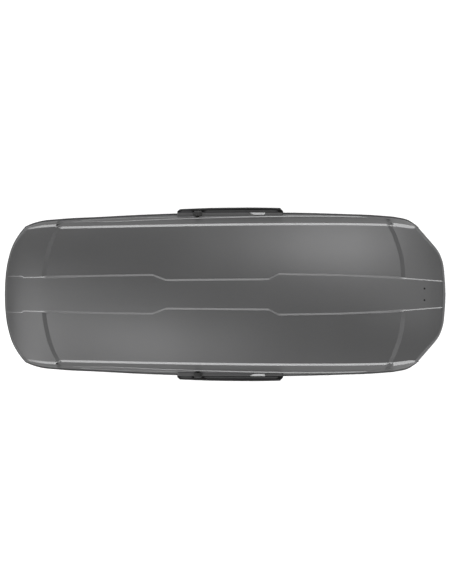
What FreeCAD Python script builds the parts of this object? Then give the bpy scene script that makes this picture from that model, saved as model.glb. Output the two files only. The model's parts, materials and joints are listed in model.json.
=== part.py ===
import FreeCAD, Part

import math
import os

# Roof cargo box that opens from either side. Millimetres; +X to the rear, +Z up, Y across the car.
# The floor plane z = 0 touches the tips of the clamp jaws, so the box stands on them.

os.makedirs("parts", exist_ok=True)
doc = FreeCAD.newDocument("roof_box")
V = FreeCAD.Vector
SIDES = {"left": -1, "right": 1}

DIMENSIONS = {
    "length_overall": 2320,
    "half_width": 430.6,
    "wall": 4,
    "floor_under": 48,
    "rim_height": 172,
    "flange_top": 169,
    "flange_thick": 5,
    "flange_inset": 9,
    "lip_inset": 16,
    "lip_thick": 4,
    "lip_rise": 12,
    "crown_height": 470,
    "hinge_half": 354,
    "hinge_pin_r": 3.5,
    "knuckle_r": 8,
    "knuckle_half": 14,
    "ear_thick": 4,
    "ear_r": 9,
    "play": 0.06,
    "side_play": 0.4,
    "plate_thick": 3,
    "plate_inner": 366,
    "bracket_setback": 24,
    "screw_setback": 6,
    "screw_r": 2.5,
    "screw_hole_r": 2.6,
    "screw_head_r": 5,
    "screw_head": 2.5,
    "post_r": 5,
    "head_r": 7,
    "head_thick": 5,
    "neck_r": 4,
    "neck_low": 190,
    "bar_low": 191.5,
    "bar_thick": 3,
    "bar_width": 18,
    "bar_travel": 14,
    "keyhole_r": 8,
    "keyslot_half": 4.5,
    "guide_shank_r": 3,
    "guide_head_r": 5,
    "rail_low": 186,
    "rail_high": 212,
    "rail_width": 24,
    "rail_skin": 2,
    "arm_half": 12,
    "hanger_half": 20,
    "hanger_top": 250,
    "knob_x": -143,
    "knob_height": 250,
    "knob_r": 22,
    "knob_face": 431,
    "knob_shaft_r": 6,
    "barrel_r": 7,
    "crank_disc_r": 14,
    "crank_r": 10,
    "crank_pin_r": 2.5,
    "recess_depth_y": 409,
    "recess_low": 224,
    "recess_high": 276,
    "grip_outer": 456,
    "grip_low": 174,
    "grip_high": 222,
    "rivet_x": 1045,
    "rivet_y": 30,
    "rivet_r": 2.9,
    "rivet_low": 381,
    "rivet_high": 392,
    "strut_r": 7.8,
    "strut_rod_r": 5,
    "strut_pin_r": 4,
    "strut_tube_length": 400,
    "eye_r": 12,
    "eye_hole_r": 6.8,
    "eye_half": 6,
    "foot_half": 8,
    "mount_rail_width": 40,
    "mount_rail_half_length": 540,
    "slot_width": 26,
    "slot_margin": 18,
    "clamp_travel": 90,
    "clamp_x": 350,
    "clamp_y": 270,
    "jaw_spread": 50,
    "jaw_pivot_height": 62,
    "jaw_pin_r": 4,
    "crossbar_seat": 40,
    "crossbar_height": 28,
    "clamp_seat": 55.4,
    "clamp_top": 92,
    "clamp_knob_r": 24,
    "clamp_knob_low": 96.5,
    "clamp_knob_top": 116,
}

HINGE_X = (-520, 40, 600)
LIFTER_X = {"front": (-655, -625), "rear": (745, 775)}
RECESS_X = (-182, 216)
MOUNT_SCREW_X = (-525, -170, 0, 170, 525)
THROUGH_FLOOR = ("floor_under - 8", "floor_under + 12")
THROUGH_FLANGE = ("flange_top - 9", "flange_top + 3")
CLAMPS = {"front_left": (-1, -1), "front_right": (-1, 1), "rear_left": (1, -1), "rear_right": (1, 1)}

sheet = doc.addObject("Spreadsheet::Sheet", "Size")
for row, (alias, value) in enumerate(DIMENSIONS.items(), start=1):
    sheet.set(f"A{row}", alias)
    sheet.set(f"B{row}", str(value))
    sheet.setAlias(f"B{row}", alias)
doc.recompute()

D = DIMENSIONS
subparts = []


# ---------------------------------------------------------------- document helpers


def bind(obj, prop, text):
    """Ties one property to an expression in which a bare alias names a cell of the sheet."""
    words = []
    word = ""
    for letter in str(text) + " ":
        if letter.isalnum() or letter in "_.":
            word += letter
            continue
        words.append("Size." + word if word in DIMENSIONS else word)
        words.append(letter)
        word = ""
    obj.setExpression(prop, "".join(words).strip())


def put(obj, x, y, z):
    for axis, text in zip("xyz", (x, y, z)):
        bind(obj, "Placement.Base." + axis, text)
    return obj


def end_to_end(middle, half):
    """A span that reaches half its length to each side of the middle."""
    return (f"{middle} - {half}", f"{middle} + {half}")


def mirrored(span, side):
    """A span given outward from the centre plane, on the chosen side of it."""
    return span if side > 0 else (f"-({span[1]})", f"-({span[0]})")


def block(name, x, y, z, side=1):
    """A box from three (low, high) spans; y is measured outward on the chosen side."""
    y = mirrored(y, side)
    box = doc.addObject("Part::Box", name)
    for prop, span in (("Length", x), ("Width", y), ("Height", z)):
        bind(box, prop, f"({span[1]}) - ({span[0]})")
    return put(box, x[0], y[0], z[0])


AXIS_TURN = {
    "x": FreeCAD.Rotation(V(0, 1, 0), 90),
    "y": FreeCAD.Rotation(V(1, 0, 0), -90),
    "z": FreeCAD.Rotation(),
}


def round_bar(name, axis, radius, span, first, second, side=1):
    """A cylinder along one axis over a span; first and second are its other two coordinates."""
    if axis == "y":
        span = mirrored(span, side)
        where = (first, span[0], second)
    elif axis == "x":
        where = (span[0], f"{side} * ({first})", second)
    else:
        where = (first, f"{side} * ({second})", span[0])
    bar = doc.addObject("Part::Cylinder", name)
    bind(bar, "Radius", radius)
    bind(bar, "Height", f"({span[1]}) - ({span[0]})")
    bar.Placement = FreeCAD.Placement(V(), AXIS_TURN[axis])
    return put(bar, *where)


def fused(name, pieces):
    if len(pieces) == 1:
        return pieces[0]
    whole = doc.addObject("Part::MultiFuse", name)
    whole.Shapes = pieces
    whole.Refine = True
    return whole


def without(name, base, tools):
    result = doc.addObject("Part::Cut", name)
    result.Base = base
    result.Tool = fused(name + "_tools", tools)
    return result


def shared(name, first, second):
    result = doc.addObject("Part::MultiCommon", name)
    result.Shapes = [first, second]
    return result


def subpart(label, pieces):
    """One node of the assembly; separate solids of the same sort stay separate in a compound."""
    if len(pieces) == 1:
        whole = pieces[0]
    else:
        whole = doc.addObject("Part::Compound", label + "_set")
        whole.Links = pieces
    whole.Label = label
    subparts.append(whole)
    return whole


# ---------------------------------------------------------------- plan outline and shells

NOSE = ((-1048, 359), (-1111, 272), (-1143, 179), (-1160, 0))
SIDE = (
    (-1048, 359), (-974, 385), (-764, 404), (-290, 425.6), (341, 430.6), (814, 415), (941, 398), (1004, 364)
)
TAIL = ((1109, 242.5), (1141, 182), (1160, 0))


def half_width_at(x):
    """Half the width of the box at a station along it, between the points of the side curve."""
    for (x0, y0), (x1, y1) in zip(SIDE, SIDE[1:]):
        if x0 <= x <= x1:
            return y0 + (y1 - y0) * (x - x0) / (x1 - x0)
    raise ValueError(x)


def curve(points):
    spline = Part.BSplineCurve()
    spline.interpolate([V(x, y, 0) for x, y in points])
    return spline.toShape()


def across(points):
    """The same points mirrored to the other side, in reverse order."""
    return [(x, -y) for x, y in reversed(points)]


def plan_outline():
    """Rounded nose, long bowed sides, straight rear chamfers and a slightly bowed tail."""
    nose = [(x, -y) for x, y in NOSE] + list(reversed(NOSE))[1:]
    chamfer = Part.makeLine(V(*SIDE[-1], 0), V(*TAIL[0], 0))
    other_chamfer = Part.makeLine(V(TAIL[0][0], -TAIL[0][1], 0), V(SIDE[-1][0], -SIDE[-1][1], 0))
    tail = list(TAIL) + across(TAIL)[1:]
    return Part.Wire([curve(nose), curve(SIDE), chamfer, curve(tail), other_chamfer, curve(across(SIDE))])


outline = doc.addObject("Part::Feature", "plan_outline")
outline.Shape = plan_outline()


def ring(name, height, front, rear, share, inset=0):
    """The plan outline drawn in by front and rear amounts and to a share of its width, at a height."""
    scaled = doc.addObject("Part::Scale", name)
    scaled.Base = outline
    scaled.Uniform = False
    bind(scaled, "XScale", f"1 - ({front} + {rear} + 2 * ({inset})) / length_overall")
    bind(scaled, "YScale", f"{share} - ({inset}) / half_width")
    scaled.ZScale = 1
    return put(scaled, f"({front} - {rear}) / 2", 0, height)


def lofted(name, rings):
    loft = doc.addObject("Part::Loft", name)
    loft.Sections = rings
    loft.Solid = True
    loft.Ruled = True
    return loft


def prism(name, inset, low, high):
    """An upright slab with the plan outline drawn in evenly."""
    slab = doc.addObject("Part::Extrusion", name)
    slab.Base = ring(name + "_edge", low, 0, 0, 1, inset)
    slab.DirMode = "Custom"
    slab.Dir = V(0, 0, 1)
    slab.Solid = True
    bind(slab, "LengthFwd", f"({high}) - ({low})")
    return slab


# height above the floor plane, front inset, rear inset, share of the width
LID_RINGS = (
    (172, 0, 0, 1.0),
    (235, 20, 6, 0.97),
    (300, 160, 14, 0.93),
    (370, 360, 50, 0.88),
    (415, 560, 190, 0.82),
    (452, 860, 480, 0.6),
    (466, 1160, 760, 0.3),
    (470, 1310, 900, 0.1),
)
BASE_RINGS = (
    (48, 230, 120, 0.79),
    (70, 160, 80, 0.84),
    (110, 100, 55, 0.88),
    (164, 40, 38, 0.907),
)


def lid_solids():
    outer = [ring(f"lid_ring_{i}", *row) for i, row in enumerate(LID_RINGS)]
    inner = [ring("lid_mouth_ring", "rim_height - 1", *LID_RINGS[0][1:], "wall")]
    for i, (z, front, rear, share) in enumerate(LID_RINGS[1:-1], start=1):
        inner.append(ring(f"lid_inner_ring_{i}", f"{z} - wall", front, rear, share, "wall"))
    return lofted("lid_outside", outer), lofted("lid_cavity", inner)


def knob_recess(tag, side, low_y, grow):
    """The room in the lid's side wall for the lock knob, or with grow the wall that lines it."""
    return block(
        f"recess_{tag}",
        (f"{RECESS_X[0]} - {grow}", f"{RECESS_X[1]} + {grow}"),
        (low_y, "half_width + 30"),
        (f"recess_low - {grow}", f"recess_high + {grow}"),
        side,
    )


def lid_shell(outside, cavity):
    skin = without("lid_skin", outside, [cavity])
    liners = []
    cuts = []
    for word, side in SIDES.items():
        liner = knob_recess(word + "_liner", side, "recess_depth_y - wall", "wall")
        liners.append(shared(f"recess_liner_{word}", liner, outside))
        cuts.append(knob_recess(word + "_room", side, "recess_depth_y", 0))
        through = ("recess_depth_y - 9", "recess_depth_y + 3")
        shaft_r = "knob_shaft_r + play"
        cuts.append(round_bar(f"shaft_hole_{word}", "y", shaft_r, through, "knob_x", "knob_height", side))
    for word, side in SIDES.items():
        through = ("rim_height", "crown_height")
        name = f"rivet_hole_{word}"
        cuts.append(round_bar(name, "z", "rivet_r + 0.1", through, "rivet_x", "rivet_y", side))
    return subpart("lid_shell", [without("lid_shell_body", fused("lid_lined", [skin] + liners), cuts)])


def base_shell():
    outer = [ring(f"base_ring_{i}", *row) for i, row in enumerate(BASE_RINGS)]
    inner = []
    for i, (z, front, rear, share) in enumerate(BASE_RINGS):
        inner.append(ring(f"base_inner_ring_{i}", f"{z} + wall" if i == 0 else z, front, rear, share, "wall"))
    top = BASE_RINGS[-1]
    inner.append(ring("base_mouth_ring", "flange_top + lip_rise + 9", *top[1:], "wall"))
    flange = prism("base_flange", "flange_inset", "flange_top - flange_thick", "flange_top")
    lip = without(
        "base_lip",
        prism("base_lip_out", "lip_inset", "flange_top", "flange_top + lip_rise"),
        [prism("base_lip_in", "lip_inset + lip_thick", "flange_top - 1", "flange_top + lip_rise + 1")],
    )
    cuts = [lofted("base_cavity", inner)]
    for end in (-1, 1):
        for word, side in SIDES.items():
            cuts.append(clamp_slot(f"floor_slot_{word}_{end + 1}", end, side))
    for x, y in mount_screw_places():
        cuts.append(round_bar(f"floor_hole_{len(cuts)}", "z", "screw_hole_r", THROUGH_FLOOR, x, y))
    for x, side, outer_y in bracket_places():
        y = f"{outer_y} - screw_setback"
        cuts.append(round_bar(f"flange_hole_{len(cuts)}", "z", "screw_hole_r", THROUGH_FLANGE, x, y, side))
    body = fused("base_outside", [lofted("base_loft", outer), flange, lip])
    return subpart("base_shell", [without("base_shell_body", body, cuts)])


# ---------------------------------------------------------------- fixed fittings of the base


def clamp_slot(name, end, side):
    """The straight slot through floor and rail along which one clamp slides."""
    half = "clamp_travel + jaw_spread + slot_margin"
    return block(
        name,
        (f"{end} * clamp_x - ({half})", f"{end} * clamp_x + ({half})"),
        ("clamp_y - slot_width / 2", "clamp_y + slot_width / 2"),
        THROUGH_FLOOR,
        side,
    )


def mount_screw_places():
    return [(x, side * D["clamp_y"]) for side in SIDES.values() for x in MOUNT_SCREW_X]


def mount_rails():
    """Steel strips that spread the clamp load over the floor."""
    for word, side in SIDES.items():
        plate = block(
            f"mount_plate_{word}",
            ("-mount_rail_half_length", "mount_rail_half_length"),
            ("clamp_y - mount_rail_width / 2", "clamp_y + mount_rail_width / 2"),
            ("floor_under + wall", "floor_under + wall + plate_thick"),
            side,
        )
        cuts = [clamp_slot(f"rail_slot_{word}_{end + 1}", end, side) for end in (-1, 1)]
        for i, (x, y) in enumerate(mount_screw_places()):
            if y * side > 0:
                cuts.append(round_bar(f"rail_hole_{word}_{i}", "z", "screw_hole_r", THROUGH_FLOOR, x, y))
        subpart(f"mount_rail_{word}", [without(f"mount_rail_{word}_body", plate, cuts)])


def screw(name, x, y, low, seat):
    """A pan-head screw: shank from low to the seat, head above the seat."""
    shank = round_bar(name + "_shank", "z", "screw_r", (low, seat), x, y)
    top = round_bar(name + "_head", "z", "screw_head_r", (seat, f"{seat} + screw_head"), x, y)
    return fused(name, [shank, top])


def bracket_places():
    """Every hinge and lifter bracket on the rim: station, side and outer edge of its plate."""
    stations = [x for x in HINGE_X] + [x for pair in LIFTER_X.values() for x in pair]
    places = []
    for x in stations:
        for side in SIDES.values():
            if x in HINGE_X or lifter_side(x) == side:
                places.append((x, side, round(half_width_at(x) - D["bracket_setback"], 1)))
    return places


def lifter_side(x):
    """The side whose rim carries the strut at this station: the first of each pair starts on the right."""
    for first, second in LIFTER_X.values():
        if x in (first, second):
            return 1 if x == first else -1
    return 0


def rim_bracket(name, x, side, outer_y, inner_half, hole_r):
    """A plate screwed to the rim flange with two ears that hold a pivot pin on the hinge line."""
    z = ("flange_top", "flange_top + plate_thick")
    outer_half = f"({inner_half} + ear_thick)"
    plate_x = (f"{x} - {outer_half}", f"{x} + {outer_half}")
    pieces = [block(name + "_plate", plate_x, ("plate_inner", outer_y), z, side)]
    through = ("flange_top - 9", "flange_top + 11")
    screw_y = f"{outer_y} - screw_setback"
    holes = [round_bar(name + "_screw_hole", "z", "screw_hole_r", through, x, screw_y, side)]
    for end in (-1, 1):
        low = f"{x} + {end} * {inner_half}"
        high = f"{x} + {end} * {outer_half}"
        span = (low, high) if end > 0 else (high, low)
        tag = f"{name}_ear_{end + 1}"
        pieces.append(round_bar(tag, "x", "ear_r", span, "hinge_half", "rim_height", side))
        pieces.append(block(tag + "_foot", span, ("hinge_half", "plate_inner + 1"), z, side))
    through = (f"{x} - 2 * {outer_half}", f"{x} + 2 * {outer_half}")
    holes.append(round_bar(name + "_bore", "x", hole_r, through, "hinge_half", "rim_height", side))
    return without(name, fused(name + "_solid", pieces), holes)


def rim_brackets():
    hinge_set = []
    pins = []
    lifter_set = []
    lifter_pins = []
    screws = []
    for i, (x, side, outer_y) in enumerate(bracket_places()):
        if x in HINGE_X:
            half = "(knuckle_half + side_play)"
            hinge_set.append(rim_bracket(f"hinge_bracket_{i}", x, side, outer_y, half, "hinge_pin_r + play"))
            reach = end_to_end(x, "(knuckle_half + ear_thick + 4)")
            name = f"hinge_pin_{i}"
            pins.append(round_bar(name, "x", "hinge_pin_r", reach, "hinge_half", "rim_height", side))
        else:
            half = "(foot_half + side_play)"
            lifter_set.append(rim_bracket(f"lifter_foot_{i}", x, side, outer_y, half, "strut_pin_r + play"))
            reach = end_to_end(x, "(foot_half + side_play + ear_thick + 1)")
            name = f"lifter_foot_pin_{i}"
            lifter_pins.append(round_bar(name, "x", "strut_pin_r", reach, "hinge_half", "rim_height", side))
        screw_y = side * (outer_y - D["screw_setback"])
        screws.append(screw(f"rim_screw_{i}", x, screw_y, "flange_top - 9", "flange_top + plate_thick"))
    subpart("hinge_brackets", hinge_set)
    subpart("hinge_pins", pins)
    subpart("lifter_feet", lifter_set)
    subpart("lifter_foot_pins", lifter_pins)
    subpart("rim_screws", screws)
    seat = "floor_under + wall + plate_thick"
    places = enumerate(mount_screw_places())
    subpart("mount_screws", [screw(f"mount_screw_{i}", x, y, "floor_under", seat) for i, (x, y) in places])


STRAP_X = {"front": -120, "rear": 420}


def load_straps():
    """Two flat straps across the floor, each between two anchor plates and under a cam buckle."""
    floor = "floor_under + wall"
    foot_y = (214, 240)
    bail_y = (222, 232)
    anchors = []
    for end, x in STRAP_X.items():
        for word, side in SIDES.items():
            name = f"anchor_{end}_{word}"
            foot = block(name + "_foot", end_to_end(x, 24), foot_y, (floor, f"{floor} + 2"), side)
            bail = block(name + "_bail", end_to_end(x, 16), bail_y, (f"{floor} + 2", f"{floor} + 7"), side)
            anchors.append(fused(name, [foot, bail]))
        lane_y = (2 - foot_y[0], foot_y[0] - 2)
        lane = block(f"strap_lane_{end}", end_to_end(x, 12.5), lane_y, (f"{floor} + 0.1", f"{floor} + 1.7"))
        subpart(f"load_strap_{end}", [lane])
        plate = block(f"buckle_plate_{end}", end_to_end(x, 20), (-30, 30), (f"{floor} + 1.8", f"{floor} + 8"))
        subpart(f"cam_buckle_{end}", [plate])
    subpart("strap_anchors", anchors)


# ---------------------------------------------------------------- hinge links and latch rails


def link_height():
    return "neck_low + head_r - 1"


def hinge_links():
    """Each link turns on its pin and ends in a round head that the lock bar can catch."""
    for word, side in SIDES.items():
        links = []
        for i, x in enumerate(HINGE_X):
            name = f"link_{word}_{i}"
            span = (f"{x} - knuckle_half", f"{x} + knuckle_half")
            knuckle = round_bar(name + "_knuckle", "x", "knuckle_r", span, "hinge_half", "rim_height", side)
            post = round_bar(name + "_post", "z", "post_r", ("rim_height", "neck_low"), x, "hinge_half", side)
            neck_z = ("neck_low", link_height())
            neck = round_bar(name + "_neck", "z", "neck_r", neck_z, x, "hinge_half", side)
            top = (link_height(), f"{link_height()} + head_thick")
            head = round_bar(name + "_head", "z", "head_r", top, x, "hinge_half", side)
            bore_r = "hinge_pin_r + play"
            through = end_to_end(x, "2 * knuckle_half")
            bore = round_bar(name + "_bore", "x", bore_r, through, "hinge_half", "rim_height", side)
            links.append(without(name, fused(name + "_solid", [knuckle, post, neck, head]), [bore]))
        subpart(f"hinge_links_{word}", links)


RAIL_SPAN = (-590, 672)
BAR_SPAN = (-572, 652)
GUIDE_X = (-430, -220, 130, 330, 500)
RAIL_BRACKET_X = (-480, -290, 280, 555)


def latch_rails(cavity):
    for word, side in SIDES.items():
        inner = "hinge_half - rail_width / 2"
        outer = "hinge_half + rail_width / 2"
        channel = block(f"latch_channel_{word}", RAIL_SPAN, (inner, outer), ("rail_low", "rail_high"), side)
        hollow = block(
            f"latch_hollow_{word}",
            (RAIL_SPAN[0] - 1, RAIL_SPAN[1] + 1),
            (f"{inner} + rail_skin", f"{outer} - rail_skin"),
            ("rail_low - 1", "rail_high - rail_skin"),
            side,
        )
        window = block(
            f"latch_window_{word}",
            ("knob_x - arm_half - bar_travel - 1", "knob_x + arm_half + 1"),
            (350, 358),
            ("rail_high - 2 * rail_skin - 1", "rail_high + 1"),
            side,
        )
        rail = without(f"latch_rail_{word}_body", channel, [hollow, window])
        subpart(f"latch_rail_{word}", [rail])
        hangers = []
        for i, x in enumerate(RAIL_BRACKET_X):
            name = f"hanger_{word}_{i}"
            wide = end_to_end(x, "hanger_half")
            foot_y = ("hinge_half - 10", "hinge_half + 10")
            arm_z = ("hanger_top - plate_thick", "hanger_top")
            riser_z = ("rail_high", "hanger_top")
            riser = block(name + "_riser", wide, (350, "350 + plate_thick"), riser_z, side)
            foot = block(name + "_foot", wide, foot_y, ("rail_high", "rail_high + 2"), side)
            arm = block(name + "_arm", wide, (350, "half_width"), arm_z, side)
            hangers.append(shared(name, fused(name + "_solid", [riser, foot, arm]), cavity))
        subpart(f"rail_hangers_{word}", hangers)
        guides = []
        for i, x in enumerate(GUIDE_X):
            name = f"guide_{word}_{i}"
            stem_z = ("bar_low + bar_thick + 0.5", "rail_high - rail_skin")
            neck_z = ("bar_low - 0.5", stem_z[0])
            head_z = ("bar_low - 3", "bar_low - 0.5")
            shoulder = round_bar(name + "_shoulder", "z", "guide_head_r", stem_z, x, "hinge_half", side)
            shank = round_bar(name + "_shank", "z", "guide_shank_r", neck_z, x, "hinge_half", side)
            head = round_bar(name + "_head", "z", "guide_head_r", head_z, x, "hinge_half", side)
            guides.append(fused(name, [shoulder, shank, head]))
        subpart(f"bar_guides_{word}", guides)


def lock_bars():
    """A flat bar with one keyhole over each link head; the arm carries the knob's crank slot."""
    low = "bar_low"
    high = "bar_low + bar_thick"
    deep = ("bar_low - 10", "bar_low + 10")
    arm_top = "knob_height + 22"
    arm_y = (352, 394)
    for word, side in SIDES.items():
        name = f"lock_bar_{word}"
        flat_y = end_to_end("hinge_half", "bar_width / 2")
        pieces = [block(name + "_flat", BAR_SPAN, flat_y, (low, high), side)]
        cuts = []
        for i, x in enumerate(HINGE_X):
            cuts.append(round_bar(f"{name}_eye_{i}", "z", "keyhole_r", deep, x, "hinge_half", side))
            slot_y = end_to_end("hinge_half", "keyslot_half")
            end = f"{x} + bar_travel + 0.5"
            cuts.append(block(f"{name}_slot_{i}", (x, end), slot_y, deep, side))
            cuts.append(round_bar(f"{name}_slot_end_{i}", "z", "keyslot_half", deep, end, "hinge_half", side))
        for i, x in enumerate(GUIDE_X):
            span = (f"{x} - side_play", f"{x} + bar_travel + side_play")
            run_half = "(guide_shank_r + 0.2)"
            cuts.append(block(f"{name}_run_{i}", span, end_to_end("hinge_half", run_half), deep, side))
            for j, end in enumerate(span):
                cuts.append(round_bar(f"{name}_run_{i}_{j}", "z", run_half, deep, end, "hinge_half", side))
        arm_x = end_to_end("knob_x", "arm_half")
        riser_y = (arm_y[0], f"{arm_y[0]} + bar_thick")
        tab_y = (f"{arm_y[1]} - bar_thick", arm_y[1])
        pieces.append(block(name + "_riser", arm_x, riser_y, (high, arm_top), side))
        pieces.append(block(name + "_bridge", arm_x, arm_y, (f"{arm_top} - bar_thick", arm_top), side))
        pieces.append(block(name + "_tab", arm_x, tab_y, ("knob_height", arm_top), side))
        slot_x = end_to_end("knob_x + crank_r * cos(45)", "(crank_pin_r + side_play)")
        slot_z = ("knob_height + 3.5", "knob_height + 13.5")
        cuts.append(block(name + "_crank_slot", slot_x, (arm_y[1] - 6, arm_y[1] + 3), slot_z, side))
        subpart(name, [without(name + "_body", fused(name + "_solid", pieces), cuts)])


def lock_knobs():
    """A round knob outside, a shaft through the wall and a crank pin in the bar's slot."""
    for word, side in SIDES.items():
        name = f"lock_knob_{word}"
        centre = ("knob_x", "knob_height")
        face_y = ("recess_depth_y + 2", "knob_face")
        shaft_y = ("recess_depth_y - 9", "recess_depth_y + 3")
        disc_y = ("recess_depth_y - 12", "recess_depth_y - 8")
        pin_y = ("recess_depth_y - 20", "recess_depth_y - 11")
        face = round_bar(name + "_face", "y", "knob_r", face_y, *centre, side)
        shaft = round_bar(name + "_shaft", "y", "knob_shaft_r", shaft_y, *centre, side)
        crank = round_bar(name + "_crank", "y", "crank_disc_r", disc_y, *centre, side)
        crank_at = ("knob_x + crank_r * cos(45)", "knob_height + crank_r * sin(45)")
        pin = round_bar(name + "_pin", "y", "crank_pin_r", pin_y, *crank_at, side)
        bore_y = ("knob_face - 10", "knob_face + 1")
        bore = round_bar(name + "_bore", "y", "barrel_r + play", bore_y, *centre, side)
        subpart(name, [without(name + "_body", fused(name + "_solid", [face, shaft, crank, pin]), [bore])])
        barrel_y = ("knob_face - 9.8", "knob_face + 1")
        barrel = round_bar(f"key_barrel_{word}", "y", "barrel_r", barrel_y, *centre, side)
        slit_x = end_to_end("knob_x", 0.8)
        slit_z = end_to_end("knob_height", 4.5)
        keyway = block(f"keyway_{word}", slit_x, ("knob_face - 6", "knob_face + 3"), slit_z, side)
        subpart(f"key_cylinder_{word}", [without(f"key_cylinder_{word}_body", barrel, [keyway])])


# ---------------------------------------------------------------- lid fittings

GRIP_X = (-251, 304)
BOW_R = 8500
BOW_X = 130


def grips(outside):
    """Long pull grips below the lock knobs, bowed outward, with a finger trough open at the bottom."""
    for word, side in SIDES.items():
        name = f"grip_{word}"
        bulk = block(name + "_bulk", GRIP_X, (410, "grip_outer"), ("grip_low", "grip_high"), side)
        bow_z = ("grip_low - 14", "grip_high + 18")
        bow = round_bar(name + "_bow", "z", BOW_R, bow_z, BOW_X, f"grip_outer - {BOW_R}", side)
        trough_x = (GRIP_X[0] + 20, GRIP_X[1] - 20)
        trough_y = ("grip_outer - 22", "grip_outer - 8")
        trough = block(name + "_trough", trough_x, trough_y, ("grip_low - 4", "grip_high - 14"), side)
        grip = without(name + "_body", shared(name + "_bowed", bulk, bow), [outside, trough])
        subpart(name, [grip])


def lid_rivets():
    rivets = []
    for word, side in SIDES.items():
        name = f"rivet_{word}"
        reach = ("rivet_low", "rivet_high")
        rivets.append(round_bar(name, "z", "rivet_r", reach, "rivet_x", "rivet_y", side))
    subpart("tail_rivets", rivets)


OPEN_ANGLE = 45
MOUNT_RADIUS = 50
MOUNT_LEAN = 62.5


def arc_mount():
    """Where the lid end of a strut sits: its pin circles the far hinge line as the lid swings open."""
    swing = math.radians(OPEN_ANGLE)
    lean = math.radians(MOUNT_LEAN)
    y = D["hinge_half"] - MOUNT_RADIUS * math.cos(lean)
    z = D["rim_height"] + MOUNT_RADIUS * math.sin(lean)
    lift = MOUNT_RADIUS * (1 - math.cos(swing / 2)) / 2
    return y, z, lift


PIN_Y, PIN_Z, EYE_LIFT = arc_mount()
EYE_Z = PIN_Z + EYE_LIFT
STRUT_RUN = D["hinge_half"] + PIN_Y
STRUT_RISE = EYE_Z - D["rim_height"]
STRUT_LENGTH = math.hypot(STRUT_RUN, STRUT_RISE)
STRUT_TILT = math.degrees(math.atan2(STRUT_RISE, STRUT_RUN))
ROD_BORE_START = 40
ROD_START = 80


def strut_bar(name, x, side, radius, start, end):
    """A cylinder along a strut's axis, from its base pivot toward the lid on the other side."""
    bar = doc.addObject("Part::Cylinder", name)
    bind(bar, "Radius", radius)
    bind(bar, "Height", f"({end}) - ({start})")
    turn = side * (90 - STRUT_TILT)
    bar.Placement = FreeCAD.Placement(V(), FreeCAD.Rotation(V(1, 0, 0), turn))
    across_y = f"{side} * (hinge_half - ({start}) * cos({STRUT_TILT}))"
    return put(bar, x, across_y, f"rim_height + ({start}) * sin({STRUT_TILT})")


def lifters():
    for end, pair in LIFTER_X.items():
        for x in pair:
            side = lifter_side(x)
            word = "right" if side > 0 else "left"
            name = f"lifter_{end}_{word}"
            foot = end_to_end(x, "foot_half")
            through = end_to_end(x, "2 * foot_half")
            pin_r = "strut_pin_r + play"
            knuckle = round_bar(name + "_knuckle", "x", "ear_r", foot, "hinge_half", "rim_height", side)
            tube = strut_bar(name + "_barrel", x, side, "strut_r", 0, "strut_tube_length")
            bore_end = "strut_tube_length + 5"
            bore = strut_bar(name + "_bore", x, side, "strut_rod_r + play", ROD_BORE_START, bore_end)
            hole = round_bar(name + "_hole", "x", pin_r, through, "hinge_half", "rim_height", side)
            shell = fused(name + "_shell", [knuckle, tube])
            subpart(name + "_tube", [without(name + "_tube_body", shell, [bore, hole])])
            rod = strut_bar(name + "_shaft", x, side, "strut_rod_r", ROD_START, round(STRUT_LENGTH - 8, 2))
            eye_y = f"{-side} * {round(PIN_Y, 3)}"
            eye_z = round(EYE_Z, 3)
            eye = round_bar(name + "_eye", "x", "eye_r", end_to_end(x, "eye_half"), eye_y, eye_z)
            deep = end_to_end(x, "2 * eye_half")
            gap = round_bar(name + "_eye_hole", "x", "eye_hole_r", deep, eye_y, eye_z)
            subpart(name + "_rod", [without(name + "_rod_body", fused(name + "_bar", [rod, eye]), [gap])])


HEAD_ARM_Z = 240


def lifter_heads(cavity):
    """Lid-side brackets: an arm from the side wall with two ears and the pin through the strut's eye."""
    heads = []
    pins = []
    ear_y = (round(PIN_Y - 11, 1), round(PIN_Y + 11, 1))
    for pair in LIFTER_X.values():
        for x in pair:
            side = -lifter_side(x)
            name = f"head_{x}".replace("-", "m")
            arm_z = (HEAD_ARM_Z, f"{HEAD_ARM_Z} + plate_thick")
            arm = block(name + "_arm", end_to_end(x, "(eye_half + 5)"), (ear_y[0], "half_width"), arm_z, side)
            solid = [shared(name + "_arm_trim", arm, cavity)]
            for edge in (-1, 1):
                near = f"{x} + {edge} * (eye_half + 1)"
                far = f"{x} + {edge} * (eye_half + 5)"
                span = (near, far) if edge > 0 else (far, near)
                ear_z = (round(PIN_Z - 10, 1), HEAD_ARM_Z + 1)
                solid.append(block(f"{name}_ear_{edge + 1}", span, ear_y, ear_z, side))
            at = (round(PIN_Y, 3), round(PIN_Z, 3))
            through = end_to_end(x, "(eye_half + 14)")
            hole = round_bar(name + "_hole", "x", "strut_pin_r + play", through, *at, side)
            heads.append(without(name, fused(name + "_solid", solid), [hole]))
            reach = end_to_end(x, "(eye_half + 6.5)")
            pins.append(round_bar(name + "_pin", "x", "strut_pin_r", reach, *at, side))
    subpart("lifter_heads", heads)
    subpart("lifter_head_pins", pins)


# ---------------------------------------------------------------- crossbar clamps


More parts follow.
